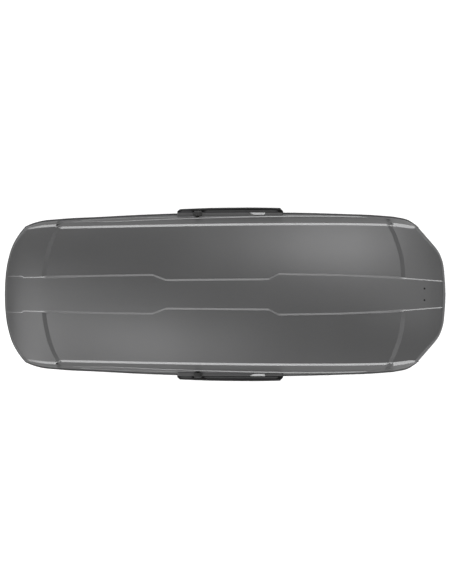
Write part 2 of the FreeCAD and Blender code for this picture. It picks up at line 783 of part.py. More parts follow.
def clamp(place, end, side):
    """A sliding clamp: body above the floor, saddle below it, knob on top and two hooked jaws."""
    x = f"{end} * clamp_x"
    y = "clamp_y"
    name = f"clamp_{place}"

    def around(half_x, half_y, low, high, tag):
        return block(f"{name}_{tag}", end_to_end(x, half_x), end_to_end(y, half_y), (low, high), side)

    body = [
        around(66, 21.5, "clamp_seat", "clamp_top", "case"),
        around(30, 12.5, "floor_under - 2", "clamp_seat + 2", "tongue"),
        around(38, 19.5, "crossbar_seat", "floor_under - 0.5", "saddle"),
        round_bar(name + "_boss", "z", 16, ("clamp_top", "clamp_top + 4"), x, y, side),
    ]
    pocket = around(62, 12, "clamp_seat - 1", "clamp_top - 8", "pocket")
    keep = around(29.9, 12, "clamp_seat - 2", "clamp_seat + 2", "keep")
    hole_z = ("clamp_top - 9", "clamp_top + 5")
    shaft_hole = round_bar(name + "_shaft_hole", "z", "4 + play", hole_z, x, y, side)
    cuts = [without(name + "_hollow", pocket, [keep]), shaft_hole]
    shell = without(name + "_shell", fused(name + "_solid", body), cuts)
    pins = []
    for edge in (-1, 1):
        pin_x = f"{x} + {edge} * jaw_spread"
        tag = f"{name}_pin_{edge + 1}"
        pins.append(round_bar(tag, "y", "jaw_pin_r", end_to_end(y, 13), pin_x, "jaw_pivot_height", side))
    subpart(name + "_body", [fused(name + "_with_pins", [shell] + pins)])

    shaft = round_bar(name + "_stem", "z", 4, ("clamp_top - 7", "clamp_knob_low + 1.5"), x, y, side)
    disc = round_bar(name + "_disc", "z", "clamp_knob_r", ("clamp_knob_low", "clamp_knob_top"), x, y, side)
    scallops = []
    lobes = 8
    for i in range(lobes):
        turn = i * 360 // lobes
        where = (f"{x} + (clamp_knob_r + 5) * cos({turn})", f"{y} + (clamp_knob_r + 5) * sin({turn})")
        deep = ("clamp_knob_low - 1.5", "clamp_knob_top + 2")
        scallops.append(round_bar(f"{name}_scallop_{i}", "z", 8, deep, *where, side))
    knob = fused(name + "_knob_solid", [shaft, disc])
    subpart(name + "_knob", [without(name + "_knob_body", knob, scallops)])

    for edge, word in ((-1, "front"), (1, "rear")):
        pivot = f"{x} + {edge} * jaw_spread"
        jaw = f"{name}_jaw_{word}"
        wide = end_to_end(y, 11)
        toe = f"{pivot} - {edge} * 22"
        heel = f"{pivot} + {edge} * 6"
        arm = end_to_end(pivot, 6)
        hook = (toe, heel) if edge > 0 else (heel, toe)
        hook_top = "crossbar_seat - crossbar_height - 0.5"
        pieces = [
            round_bar(jaw + "_eye", "y", "ear_r", wide, pivot, "jaw_pivot_height", side),
            block(jaw + "_arm", arm, wide, (-1, "jaw_pivot_height"), side),
            block(jaw + "_hook", hook, wide, (-1, hook_top), side),
        ]
        sweep = round_bar(jaw + "_sweep", "y", "jaw_pivot_height", wide, pivot, "jaw_pivot_height", side)
        through = end_to_end(y, 40)
        bore = round_bar(jaw + "_bore", "y", "jaw_pin_r + play", through, pivot, "jaw_pivot_height", side)
        rounded = shared(jaw + "_rounded", fused(jaw + "_solid", pieces), sweep)
        subpart(jaw, [without(jaw + "_body", rounded, [bore])])


# ---------------------------------------------------------------- assembly

lid_outside, lid_cavity = lid_solids()
lid_shell(lid_outside, lid_cavity)
base_shell()
mount_rails()
rim_brackets()
load_straps()
hinge_links()
latch_rails(lid_cavity)
lock_bars()
lock_knobs()
grips(lid_outside)
lid_rivets()
lifters()
lifter_heads(lid_cavity)
for place, (end, side) in CLAMPS.items():
    clamp(place, end, side)

doc.recompute()

for obj in doc.Objects:
    if "Invalid" in obj.State or "Error" in obj.State:
        raise RuntimeError(f"{obj.Label} did not recompute: {obj.State}")
for obj in subparts:
    if obj.Shape.isNull() or not obj.Shape.isValid() or not obj.Shape.Solids:
        raise RuntimeError(f"{obj.Label} has no valid solid")
for obj in subparts:
    obj.Shape.exportStep(f"parts/{obj.Label}.step")
    box = obj.Shape.BoundBox
    print(obj.Label, len(obj.Shape.Solids), round(obj.Shape.Volume / 1000, 1), "cm3", box)
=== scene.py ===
import json
import math

import bmesh
import bpy
import numpy as np
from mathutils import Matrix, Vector


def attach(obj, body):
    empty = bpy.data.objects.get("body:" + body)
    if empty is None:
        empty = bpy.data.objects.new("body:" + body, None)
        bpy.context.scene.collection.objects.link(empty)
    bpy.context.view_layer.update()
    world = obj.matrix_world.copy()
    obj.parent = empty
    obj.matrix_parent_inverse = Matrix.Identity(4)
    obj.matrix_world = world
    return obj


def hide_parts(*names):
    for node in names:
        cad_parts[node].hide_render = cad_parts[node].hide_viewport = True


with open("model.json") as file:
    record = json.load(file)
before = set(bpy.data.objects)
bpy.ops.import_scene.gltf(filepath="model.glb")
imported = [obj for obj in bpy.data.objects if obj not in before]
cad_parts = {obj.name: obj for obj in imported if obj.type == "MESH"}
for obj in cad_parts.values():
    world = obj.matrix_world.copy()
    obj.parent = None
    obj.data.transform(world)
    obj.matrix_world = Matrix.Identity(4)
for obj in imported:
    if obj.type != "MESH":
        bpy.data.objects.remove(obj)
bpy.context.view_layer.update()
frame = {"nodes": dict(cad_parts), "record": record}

# The box lies along X with its nose at -X and stands on z = 0. Its shapes are worked out in millimetres.

MM = 0.001
SIDES = (("left", -1), ("right", 1))


def polyline(points):
    """A function through the points with straight runs between them."""
    px, py = zip(*points)
    return lambda x: np.interp(x, px, py)


def smooth_curve(points):
    """A function through the points, with the slope at each one taken from its neighbours."""
    px = np.array([p[0] for p in points], float)
    py = np.array([p[1] for p in points], float)
    slopes = np.gradient(py, px)

    def value(x):
        x = np.clip(np.asarray(x, float), px[0], px[-1])
        i = np.clip(np.searchsorted(px, x, side="right") - 1, 0, len(px) - 2)
        h = px[i + 1] - px[i]
        t = (x - px[i]) / h
        rise = (1 + 2 * t) * (1 - t) ** 2 * py[i] + t * t * (3 - 2 * t) * py[i + 1]
        lean = t * (1 - t) ** 2 * h * slopes[i] - t * t * (1 - t) * h * slopes[i + 1]
        return rise + lean

    return value


def ramp(x, start, end):
    """0 before start, 1 after end and a straight rise between."""
    return np.clip((np.asarray(x, float) - start) / (end - start), 0, 1)


def ease(x, start, end):
    """0 before start, 1 after end and a smooth rise between."""
    t = ramp(x, start, end)
    return t * t * (3 - 2 * t)


def window(x, start, full, ebb, end, shape=ramp):
    """0 outside start and end and 1 from full to ebb, with a rise and a fall between."""
    return shape(x, start, full) * shape(-x, -end, -ebb)


def blend_min(a, b, soft):
    """The lower of two heights, rounded where they cross."""
    near = np.clip(0.5 + (b - a) / (2 * soft), 0, 1)
    return b + (a - b) * near - soft * near * (1 - near)


# ---------------------------------------------------------------- plan and profile curves

NOSE_TIP = -1160.0
TAIL_TIP = 1160.0
NOSE_CORNER_Y = 359.0
TAIL_CORNER_Y = 364.0

# the bands are the slopes between the raised end caps and the sunken side bays
FRONT_BAND_TIP = -946.0
REAR_BAND_TIP = 926.0
BAND_HALF = 11.0
BAND_ROWS = (
    FRONT_BAND_TIP - BAND_HALF, FRONT_BAND_TIP + BAND_HALF,
    REAR_BAND_TIP - BAND_HALF, REAR_BAND_TIP + BAND_HALF,
)

# the centre strip narrows over the first stretch and widens again over the second
WAIST_START = (-377, -305)
WAIST_END = (224, 277)

# the box's outline: half its width along the sides, and where the nose and tail lie across it
half_width = smooth_curve(
    [(-1048, NOSE_CORNER_Y), (-1015, 373), (-974, 385), (-869, 397), (-659, 408), (-448, 419),
     (-200, 427.5), (100, 430.2), (341, 430.6), (604, 424), (814, 415), (900, 406.5), (962, 391),
     (1004, TAIL_CORNER_Y)]
)
nose_line = smooth_curve(
    [(0, NOSE_TIP), (76, -1157.5), (179, -1143), (272, -1111), (335, -1069), (NOSE_CORNER_Y, -1048)]
)
tail_line = smooth_curve(
    [(0, TAIL_TIP), (83, 1156), (182, 1141), (228, 1120), (242.5, 1109), (300, 1059.5),
     (TAIL_CORNER_Y, 1004)]
)

# height of the lid along its centre line
crown = smooth_curve(
    [(NOSE_TIP, 226), (-1100, 266), (-1000, 316), (-880, 355), (-800, 375), (-600, 413), (-300, 449),
     (0, 463), (200, 466), (500, 460), (800, 438), (950, 417), (1050, 396), (TAIL_TIP, 364)]
)

# half-widths of the lines that run along the lid, from the centre strip out to the sill
strip_edge = polyline(
    [(NOSE_TIP, 93.5), (-1063, 94), (-1052, 87), (-600, 97.5), (WAIST_START[0], 100.5),
     (WAIST_START[1], 73.6), (WAIST_END[0], 78), (WAIST_END[1], 105), (600, 99.5), (840, 89.6),
     (TAIL_TIP, 65.5)]
)
cap_shoulder = smooth_curve(
    [(NOSE_TIP, 322), (-1056, 336), (-960, 348), (-890, 353), (-800, 355), (-700, 356), (700, 356),
     (800, 355.5), (872, 353), (925, 347.5), (961, 343), (998, 345), (TAIL_TIP, 330)]
)
bay_shoulder = smooth_curve(
    [(NOSE_TIP, 335), (-869, 342), (-740, 344), (-400, 350), (0, 356), (400, 359), (700, 358), (846, 355),
     (TAIL_TIP, 345)]
)
crease = smooth_curve(
    [(NOSE_TIP, 350), (-1048, 351), (-960, 372), (-880, 376), (-760, 378), (-598, 378), (-492, 382),
     (-387, 387), (-251, 392), (-62, 398), (127, 402), (394, 406), (656, 404), (740, 402), (860, 396),
     (960, 378), (1004, 357), (TAIL_TIP, 350)]
)
sill = smooth_curve(
    [(NOSE_TIP, 352), (-1048, 354), (-960, 375), (-860, 381), (-641, 393), (-500, 399), (-250, 403.5),
     (216, 405.5), (500, 409), (656, 407.5), (740, 405.5), (860, 399), (960, 381), (1004, 359),
     (TAIL_TIP, 352)]
)

# where the bands lie across the box
front_band = smooth_curve(
    [(0, FRONT_BAND_TIP), (106, -943), (182, -931), (273, -906), (340, -873), (360, -857), (371, -838),
     (378, -812), (385, -780), (395, -740)]
)
rear_band = smooth_curve(
    [(0, REAR_BAND_TIP), (99, 923), (197, 913), (273, 891), (340, 863), (362, 850), (377, 838), (389, 815),
     (396, 790), (403, 755), (410, 715)]
)

# depths and widths that change along the box
bay_inner_depth = polyline([(-935, 9), (-650, 5), (700, 5), (915, 8.5)])
bay_outer_depth = polyline([(-935, 10), (-650, 7.5), (700, 7.5), (915, 9)])
chamfer_width = polyline(
    [(NOSE_TIP, 7), (-1056, 10), (-1024, 12), (-870, 12), (-840, 11), (845, 11), (865, 22)]
)
ledge_width = polyline([(-800, 1.4), (-200, 2.6), (150, 3.6)])

# ---------------------------------------------------------------- height of the lid

RIM = 172.0
LID_WALL = 4.0
EDGE_INSET = 6.0
TOP_FALL = 34.0
TOP_HALF = 355.0
TOP_POWER = 2.2
STRIP_RISE = 2.7
STRIP_SLOPE = 0.85
STRIP_BEVEL = 2.5
CHAMFER_SLOPE = 0.6
CHAMFER_SHARE = 0.35
NOSE_CHAMFER_SLOPE = 0.53
NOSE_CHAMFER_END = (-1000, -800)
SHOULDER_PINCH = 3.4
LEDGE_SLOPE = 0.68
LEDGE_SHARE = 0.3
TREAD_WIDTH = 1.7
WALL_INSET = 4.0
WALL_BULGE = 1.45
POCKET = (-182.0, 216.0)
POCKET_Y = 411.4
POCKET_LEDGE = 224.5
POCKET_BACK_SLOPE = 60.0
POCKET_END_SLOPE = 14.0
NOSE_LIP = 66.0
TAIL_LIP = 170.0
LIP_ROUND = 3.0
END_SLOPE = 1.5


def bay_mask(x, y):
    """1 on the sunken side bays between the two end caps, 0 on the caps."""
    after_front = ramp(x - front_band(y), -BAND_HALF, BAND_HALF)
    before_rear = ramp(rear_band(y) - x, -BAND_HALF, BAND_HALF)
    return after_front * before_rear


def shoulder(x):
    """Half the width of the top at a station, where the bays have a shoulder of their own."""
    bay = bay_mask(x, bay_shoulder(x))
    return cap_shoulder(x) + (bay_shoulder(x) - cap_shoulder(x)) * bay


def strip_bevel(x):
    """The inner and outer edge of the bevel beside the centre strip; it is wider along the bays."""
    edge = strip_edge(x)
    bay = bay_mask(x, edge)
    half = STRIP_BEVEL * (1 - bay) + (STRIP_RISE + bay_inner_depth(x)) / STRIP_SLOPE / 2 * bay
    return edge - half, edge + half + 0.5


def top_height(x, y):
    """The top out to its shoulder: a crowned surface with a raised centre strip and sunken bays."""
    inner, outer = strip_bevel(x)
    shallow = bay_inner_depth(x)
    deep = bay_outer_depth(x)
    off_strip = np.clip((y - inner) / (outer - inner), 0, 1)
    share = np.clip((y - outer) / (shoulder(x) - outer), 0, 1)
    depth = bay_mask(x, y) * (shallow + (deep - shallow) * share)
    surface = crown(x) - TOP_FALL * (y / TOP_HALF) ** TOP_POWER
    return surface + STRIP_RISE * (1 - off_strip) - depth * off_strip


def wall_lines(x):
    """Half-widths of the side wall's lines: shoulder, chamfer's foot, crease, ledge, sill, tread and rim.

    A small gap keeps each line clear of the next where they crowd together.
    """
    rim = half_width(x) - EDGE_INSET
    edge = shoulder(x)
    at_shoulder = bay_mask(x, edge)
    pinch = 1 - SHOULDER_PINCH * at_shoulder * (1 - at_shoulder)
    foot = edge + np.minimum(chamfer_width(x), CHAMFER_SHARE * (rim - edge)) * pinch
    fold = np.clip(crease(x), foot + 1.5, rim - 10)
    ledge = fold + 0.6 + np.minimum(ledge_width(x), LEDGE_SHARE * (rim - fold))
    step = np.clip(sill(x), ledge + 0.8, rim - 5)
    return edge, foot, fold, ledge, step, step + TREAD_WIDTH, rim


def wall_height(x, y):
    """The side wall from the shoulder to the rim; along the bays a ledge and a tread break it."""
    edge, foot, fold, ledge, step, tread, rim = wall_lines(x)
    top = top_height(x, np.minimum(y, edge))
    slope = CHAMFER_SLOPE - (CHAMFER_SLOPE - NOSE_CHAMFER_SLOPE) * (1 - ramp(x, *NOSE_CHAMFER_END))
    below = top - slope * (foot - edge)
    bay = bay_mask(x, y)
    inset = WALL_INSET * bay

    def height(line):
        share = np.clip((line + inset - foot) / (rim + inset - foot), 0, 1)
        return RIM + (below - RIM) * (1 - share ** WALL_BULGE)

    fold_z = height(fold)
    step_z = height(step)
    ledge_z = height(ledge) * (1 - bay) + (fold_z - LEDGE_SLOPE * (ledge - fold)) * bay
    tread_z = height(tread) * (1 - bay) + (step_z - LEDGE_SLOPE * (tread - step)) * bay
    knots = [
        (edge, top), (foot, below), (fold, fold_z), (ledge, ledge_z), (step, step_z), (tread, tread_z),
        (rim, RIM + 0 * x),
    ]
    z = top
    for (y0, z0), (y1, z1) in zip(knots, knots[1:]):
        share = np.clip((y - y0) / np.maximum(y1 - y0, 0.1), 0, 1)
        z = np.where(y > y0, z0 + (z1 - z0) * share, z)
    return z


def pocket_height(x, y):
    """The ledge for the lock knob, with an upright back wall and steep ends."""
    front, end = POCKET
    back = POCKET_BACK_SLOPE * np.clip(POCKET_Y - y, 0, None)
    front_end = POCKET_END_SLOPE * np.clip(front - x, 0, None)
    rear_end = POCKET_END_SLOPE * np.clip(x - end, 0, None)
    return POCKET_LEDGE + back + front_end + rear_end


def end_height(inside, lip):
    """The nose or tail face at a distance inside the outline: a steep lip that rounds into a slope."""
    inside = np.clip(inside - EDGE_INSET, 0, None)
    return RIM + lip * (1 - np.exp(-inside / LIP_ROUND)) + END_SLOPE * inside


def lid_height(x, y):
    """Height of the lid's outer skin over any point of the plan."""
    y = np.abs(y)
    z = wall_height(x, y)
    z = blend_min(z, end_height(x - nose_line(y), NOSE_LIP), LIP_ROUND)
    z = blend_min(z, end_height(tail_line(y) - x, TAIL_LIP), LIP_ROUND)
    z = np.minimum(z, pocket_height(x, y))
    return np.maximum(z, RIM)


# ---------------------------------------------------------------- mesh helpers


def grid_faces(rows, cols, start=0, flip=False):
    """Quads of a rows by cols lattice of points."""
    r, c = np.meshgrid(np.arange(rows - 1), np.arange(cols - 1), indexing="ij")
    a = (start + r * cols + c).ravel()
    quads = np.stack([a, a + 1, a + cols + 1, a + cols], axis=1)
    return (quads[:, ::-1] if flip else quads).tolist()


def border(rows, cols):
    """The numbers of a lattice's outermost points, in order round it."""
    first_row = list(range(cols))
    last_column = [r * cols + cols - 1 for r in range(1, rows)]
    last_row = [(rows - 1) * cols + c for c in range(cols - 2, -1, -1)]
    first_column = [r * cols for r in range(rows - 2, 0, -1)]
    return first_row + last_column + last_row + first_column


def join_loops(loops, flip=False):
    """Quads between each closed loop of point numbers and the next."""
    faces = []
    for near, far in zip(loops, loops[1:]):
        for i in range(len(near)):
            j = (i + 1) % len(near)
            quad = (near[i], near[j], far[j], far[i])
            faces.append(quad[::-1] if flip else quad)
    return faces


def sharpen(obj, degrees):
    """Keeps edges crisp where faces meet at more than an angle."""
    mesh = bmesh.new()
    mesh.from_mesh(obj.data)
    limit = math.radians(degrees)
    for edge in mesh.edges:
        if len(edge.link_faces) == 2 and edge.calc_face_angle(0) > limit:
            edge.smooth = False
    mesh.to_mesh(obj.data)
    mesh.free()


def even_normals(obj):
    """Turns every face outward."""
    mesh = bmesh.new()
    mesh.from_mesh(obj.data)
    bmesh.ops.recalc_face_normals(mesh, faces=mesh.faces)
    mesh.to_mesh(obj.data)
    mesh.free()


def crisp_paths(obj, paths):
    """Marks as crisp every mesh edge that joins neighbours on one of the paths of vertex numbers."""
    wanted = set()
    for path in paths:
        wanted.update((min(a, b), max(a, b)) for a, b in zip(path, path[1:]))
    for edge in obj.data.edges:
        a, b = edge.vertices
        if (min(a, b), max(a, b)) in wanted:
            edge.use_edge_sharp = True


def piece(name, points_mm, faces, material, body):
    """A new mesh object from points in millimetres that rides on a body."""
    mesh = bpy.data.meshes.new(name)
    mesh.from_pydata([tuple(p * MM for p in q) for q in points_mm], [], faces)
    mesh.polygons.foreach_set("use_smooth", [True] * len(mesh.polygons))
    mesh.materials.append(material)
    mesh.update()
    obj = bpy.data.objects.new(name, mesh)
    bpy.context.scene.collection.objects.link(obj)
    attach(obj, body)
    return obj


def loft_piece(name, rings, material, body, crisp, closed=False):
    """A piece through rings of equal point counts, capped at both ends or closed on itself.

    Edges of more than crisp degrees stay crisp.
    """
    count = len(rings[0])
    loops = [list(range(r * count, (r + 1) * count)) for r in range(len(rings))]
    if closed:
        faces = join_loops(loops + loops[:1])
    else:
        faces = join_loops(loops) + [loops[0][::-1], loops[-1]]
    points = [p for ring in rings for p in ring]
    made = piece(name, points, faces, material, body)
    even_normals(made)
    sharpen(made, crisp)
    return made


# ---------------------------------------------------------------- materials

NOISE_ROUGHNESS = 0.55


def new_material(name, colour, rough, metal=0.0):
    """A material whose shader starts from one colour and one roughness."""
    material = bpy.data.materials.new(name)
    material.use_nodes = True
    shader = material.node_tree.nodes["Principled BSDF"]
    shader.inputs["Base Color"].default_value = (*colour, 1)
    shader.inputs["Roughness"].default_value = rough
    shader.inputs["Metallic"].default_value = metal
    return material


def node(material, kind, **values):
    """A new shader node; each value sets an input of that name, or else a property."""
    made = material.node_tree.nodes.new(kind)
    for key, value in values.items():
        if key in made.inputs:
            made.inputs[key].default_value = value
        else:
            setattr(made, key, value)
    return made


def wire(material, source, out, target, into):
    """Links an output of one node to an input of another."""
    material.node_tree.links.new(source.outputs[out], target.inputs[into])


def place_coordinates(material, stretch=(1, 1, 1)):
    """Object coordinates, stretched for grain that runs one way."""
    where = node(material, "ShaderNodeTexCoord")
    scaled = node(material, "ShaderNodeMapping")
    scaled.inputs["Scale"].default_value = stretch
    wire(material, where, "Object", scaled, "Vector")
    return scaled


def noise(material, where, scale, detail=3.0):
    """A noise texture at some coordinates."""
    made = node(material, "ShaderNodeTexNoise", Scale=scale, Detail=detail, Roughness=NOISE_ROUGHNESS)
    wire(material, where, "Vector", made, "Vector")
    return made


def vary_colour(material, source, low, high, span=(0.35, 0.65)):
    """Base colour runs from low to high with a texture's value."""
    shades = node(material, "ShaderNodeValToRGB")
    for stop, position, colour in zip(shades.color_ramp.elements, span, (low, high)):
        stop.position = position
        stop.color = (*colour, 1)
    wire(material, source, 0, shades, "Fac")
    wire(material, shades, "Color", material.node_tree.nodes["Principled BSDF"], "Base Color")


def vary_rough(material, source, low, high):
    """Roughness runs from low to high with a texture's value."""
    spread = node(material, "ShaderNodeMapRange")
    spread.inputs["To Min"].default_value = low
    spread.inputs["To Max"].default_value = high
    wire(material, source, 0, spread, "Value")
    wire(material, spread, "Result", material.node_tree.nodes["Principled BSDF"], "Roughness")


def add_bump(material, source, strength, depth):
    """Bumps from a texture's value; depth is in metres."""
    bump = node(material, "ShaderNodeBump")
    bump.inputs["Strength"].default_value = strength
    bump.inputs["Distance"].default_value = depth
    wire(material, source, 0, bump, "Height")
    wire(material, bump, "Normal", material.node_tree.nodes["Principled BSDF"], "Normal")


def lid_paint():
    """Dark metallic lacquer with a satin surface: fine flakes, a cloudy sheen and a faint ripple."""
    material = new_material("lid_paint", (0.115, 0.115, 0.116), 0.36, metal=0.9)
    shader = material.node_tree.nodes["Principled BSDF"]
    shader.inputs["Specular Tint"].default_value = (0.4, 0.4, 0.4, 1)
    where = place_coordinates(material)
    flakes = noise(material, where, 900, detail=1.0)
    vary_colour(material, flakes, (0.102, 0.102, 0.103), (0.13, 0.13, 0.131), (0.3, 0.7))
    cloud = noise(material, where, 3.5, detail=2.0)
    vary_rough(material, cloud, 0.34, 0.39)
    add_bump(material, noise(material, where, 260, detail=2.0), 0.04, 0.0004)
    return material


def grained_plastic(name, low, high, rough, grain=1400, gloss=0.35):
    """Moulded plastic with an etched grain."""
    material = new_material(name, low, rough)
    material.node_tree.nodes["Principled BSDF"].inputs["Specular IOR Level"].default_value = gloss
    where = place_coordinates(material)
    cloud = noise(material, where, 8, detail=4.0)
    vary_colour(material, cloud, low, high)
    vary_rough(material, cloud, rough - 0.06, rough + 0.08)
    cells = node(material, "ShaderNodeTexVoronoi", Scale=grain)
    wire(material, where, "Vector", cells, "Vector")
    add_bump(material, cells, 0.35, 0.0004)
    return material


def plated_steel(name, low, high, rough, spangle):
    """Zinc-coated steel: soft crystal patches and fine scratches."""
    material = new_material(name, low, rough, metal=1.0)
    where = place_coordinates(material)
    patches = node(material, "ShaderNodeTexVoronoi", Scale=spangle)
    wire(material, where, "Vector", patches, "Vector")
    shade = noise(material, where, spangle * 0.8, detail=3.0)
    vary_colour(material, shade, low, high)
    vary_rough(material, patches, rough - 0.08, rough + 0.12)
    fine = noise(material, place_coordinates(material, (6, 60, 60)), 40, detail=4.0)
    add_bump(material, fine, 0.12, 0.0003)
    return material


def polished_rod():
    """Bright ground steel with fine lines."""
    material = new_material("polished_rod", (0.72, 0.73, 0.75), 0.12, metal=1.0)
    where = place_coordinates(material, (4, 0.2, 4))
    lines = noise(material, where, 220, detail=2.0)
    vary_rough(material, lines, 0.08, 0.2)
    vary_colour(material, lines, (0.66, 0.67, 0.69), (0.8, 0.81, 0.83))
    return material


def powder_coat():
    """Black powder coating with a fine orange peel."""
    material = new_material("powder_coat", (0.02, 0.02, 0.022), 0.45)
    where = place_coordinates(material)
    peel = noise(material, where, 420, detail=2.0)
    vary_colour(material, noise(material, where, 6), (0.016, 0.016, 0.018), (0.03, 0.03, 0.032))
    add_bump(material, peel, 0.3, 0.0004)
    return material


def webbing():
    """Flat woven polyester with fine ribs."""
    material = new_material("webbing", (0.03, 0.03, 0.034), 0.8)
    where = place_coordinates(material)
    ribs = node(material, "ShaderNodeTexWave", Scale=150.0, Distortion=0.6, bands_direction="Y")
    wire(material, where, "Vector", ribs, "Vector")
    vary_colour(material, ribs, (0.016, 0.016, 0.019), (0.05, 0.05, 0.056), (0.2, 0.8))
    add_bump(material, ribs, 0.7, 0.0006)
    return material


def turned_brass():
    """Dull brass with small tool marks."""
    material = new_material("turned_brass", (0.55, 0.43, 0.2), 0.3, metal=1.0)
    where = place_coordinates(material)
    marks = noise(material, where, 300, detail=3.0)
    vary_colour(material, marks, (0.5, 0.4, 0.2), (0.66, 0.54, 0.3))
    vary_rough(material, marks, 0.22, 0.4)
    return material


def floor_material():
    """A pale studio floor with a hardly visible mottle; a little of its light is its own."""
    material = new_material("studio_floor", (0.8, 0.8, 0.8), 0.8)
    shader = material.node_tree.nodes["Principled BSDF"]
    shader.inputs["Specular IOR Level"].default_value = 0.1
    shader.inputs["Emission Color"].default_value = (1, 1, 1, 1)
    shader.inputs["Emission Strength"].default_value = 0.3
    cloud = noise(material, place_coordinates(material), 1.2, detail=3.0)
    vary_colour(material, cloud, (0.79, 0.79, 0.79), (0.81, 0.81, 0.81))
    return material


LID_PAINT = lid_paint()
BASE_PLASTIC = grained_plastic("base_plastic", (0.026, 0.026, 0.027), (0.036, 0.036, 0.037), 0.5, grain=700)
GRIP_PLASTIC = grained_plastic("grip_plastic", (0.003,) * 3, (0.005,) * 3, 0.42, gloss=0.12)
CLAMP_PLASTIC = grained_plastic("clamp_plastic", (0.02, 0.02, 0.022), (0.034, 0.034, 0.036), 0.46)
KNOB_PLASTIC = grained_plastic("knob_plastic", (0.018,) * 3, (0.026,) * 3, 0.45, gloss=0.3)
INLAY_PLASTIC = grained_plastic("inlay_plastic", (0.026, 0.026, 0.027), (0.034, 0.034, 0.035), 0.35)
LINK_PLASTIC = grained_plastic("link_plastic", (0.03, 0.03, 0.033), (0.045, 0.045, 0.048), 0.4)
ZINC = plated_steel("zinc_steel", (0.5, 0.51, 0.52), (0.66, 0.66, 0.66), 0.34, 60)
GALVANISED = plated_steel("galvanised_steel", (0.52, 0.53, 0.54), (0.7, 0.71, 0.72), 0.42, 120)
ROD_STEEL = polished_rod()
BLACK_TUBE = powder_coat()
WEBBING = webbing()
BRASS = turned_brass()

FINISHES = {
    "lid_skin": LID_PAINT,
    "base_skin": BASE_PLASTIC,
    "zinc_steel": ZINC,
    "galvanised": GALVANISED,
    "bright_rod": ROD_STEEL,
    "black_tube": BLACK_TUBE,
    "grip_plastic": GRIP_PLASTIC,
    "link_plastic": LINK_PLASTIC,
    "clamp_plastic": CLAMP_PLASTIC,
    "knob_grey": KNOB_PLASTIC,
    "webbing": WEBBING,
    "key_metal": BRASS,
    "jaw_steel": BLACK_TUBE,
}


def finish_cad_nodes():
    """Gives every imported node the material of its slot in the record."""
    for part in frame["record"]["subparts"]:
        obj = frame["nodes"][part["node"]]
        for place in obj.material_slots:
            place.material = FINISHES[part["material_slot"]]


# ---------------------------------------------------------------- lid

# the lid's rows from the nose back: where each stretch ends on the centre line and its number of steps
LID_STRETCHES = (
    (-1157, 3), (-1149, 6), (-1078, 14), (-1060, 9), (BAND_ROWS[0], 15), (BAND_ROWS[1], 2),
    (WAIST_START[0], 62), (WAIST_START[1], 18), (POCKET[0] - 8, 16), (POCKET[0] + 8, 6), (120, 42),
    (POCKET[1] - 4, 18), (WAIST_END[0], 6), (WAIST_END[1], 14), (BAND_ROWS[2], 74), (BAND_ROWS[3], 2),
    (1120, 24), (1149, 10), (1157, 6), (TAIL_TIP, 3),
)
# steps between the lid's lengthwise lines, which guide_lines works out
COLUMN_STEPS = (6, 2, 20, 2, 5, 2, 3, 2, 2, 6)
# the lines out to the chamfer's foot are crisp all along, those from the crease to the tread in the bays
CAP_LINES = 4
BAY_LINES = 8
# rows at the nose and the tail in which no lengthwise line is crisp
SOFT_ROWS = 10
# where the pocket's line draws in to the pocket's back wall, and where it runs out again
POCKET_LEAD_IN = (-330, -190)
POCKET_LEAD_OUT = (225, 330)
# where the rows have stopped following the front band and where they begin to follow the rear one
FRONT_BAND_FADE = -400
REAR_BAND_FADE = 330
# how many turns plan_lattice takes to settle a column
SETTLING_TURNS = 12
# the section of the dark edging, which is painted shade along the lid's lower edge: distance out from the
# lid's rim and height above it
EDGING = ((5.4, -5.5), (5.4, 0.2), (4.6, 1.0), (-0.5, 1.0), (-0.5, -5.5))


def row_stations(stretches):
    """Places of the rows along the centre line, evenly spaced within each stretch."""
    stations = [NOSE_TIP]
    for end, count in stretches:
        stations += list(np.linspace(stations[-1], end, count + 1)[1:])
    return np.array(stations)


def guide_lines(x):
    """Half-widths of the lid's lengthwise lines: centre, strip's bevel, those of wall_lines and pocket.

    Away from the pocket its line runs a quarter of the way from the tread to the rim.
    """
    edge, foot, fold, ledge, step, tread, rim = wall_lines(x)
    inner, outer = strip_bevel(x)
    near = window(x, *POCKET_LEAD_IN, *POCKET_LEAD_OUT, ease)
    pocket_foot = (tread + 0.25 * (rim - tread)) * (1 - near) + POCKET_Y * near
    pocket_foot = np.maximum(pocket_foot, tread + 0.4)
    return [0 * x, inner, outer, edge, foot, fold, ledge, step, tread, pocket_foot, rim]


def column_y(x, column, steps, lines):
    """Half-width of a column at each station; columns are counted from the centre line outward."""
    at = lines(x)
    index = 0
    while column > steps[index]:
        column -= steps[index]
        index += 1
    share = column / steps[index]
    return at[index] + (at[index + 1] - at[index]) * share


def tip_shifts(y):
    """How far the nose and the tail lie from their tips at a half-width."""
    nose = nose_line(np.minimum(y, NOSE_CORNER_Y)) - NOSE_TIP
    tail = tail_line(np.minimum(y, TAIL_CORNER_Y)) - TAIL_TIP
    return nose, tail


def row_shift(station, y):
    """How far a row is bent along the box at a half-width, so that rows follow the nose, bands and tail."""
    nose, tail = tip_shifts(y)
    front = front_band(y) - FRONT_BAND_TIP
    rear = rear_band(y) - REAR_BAND_TIP
    toward_front = ramp(station, NOSE_TIP, BAND_ROWS[0])
    toward_tail = ramp(station, BAND_ROWS[3], TAIL_TIP)
    past_front = 1 - ease(station, BAND_ROWS[1], FRONT_BAND_FADE)
    before_rear = ease(station, REAR_BAND_FADE, BAND_ROWS[2])
    shift = (nose + EDGE_INSET) * (1 - toward_front) + front * toward_front * past_front
    return shift + rear * (1 - toward_tail) * before_rear + (tail - EDGE_INSET) * toward_tail


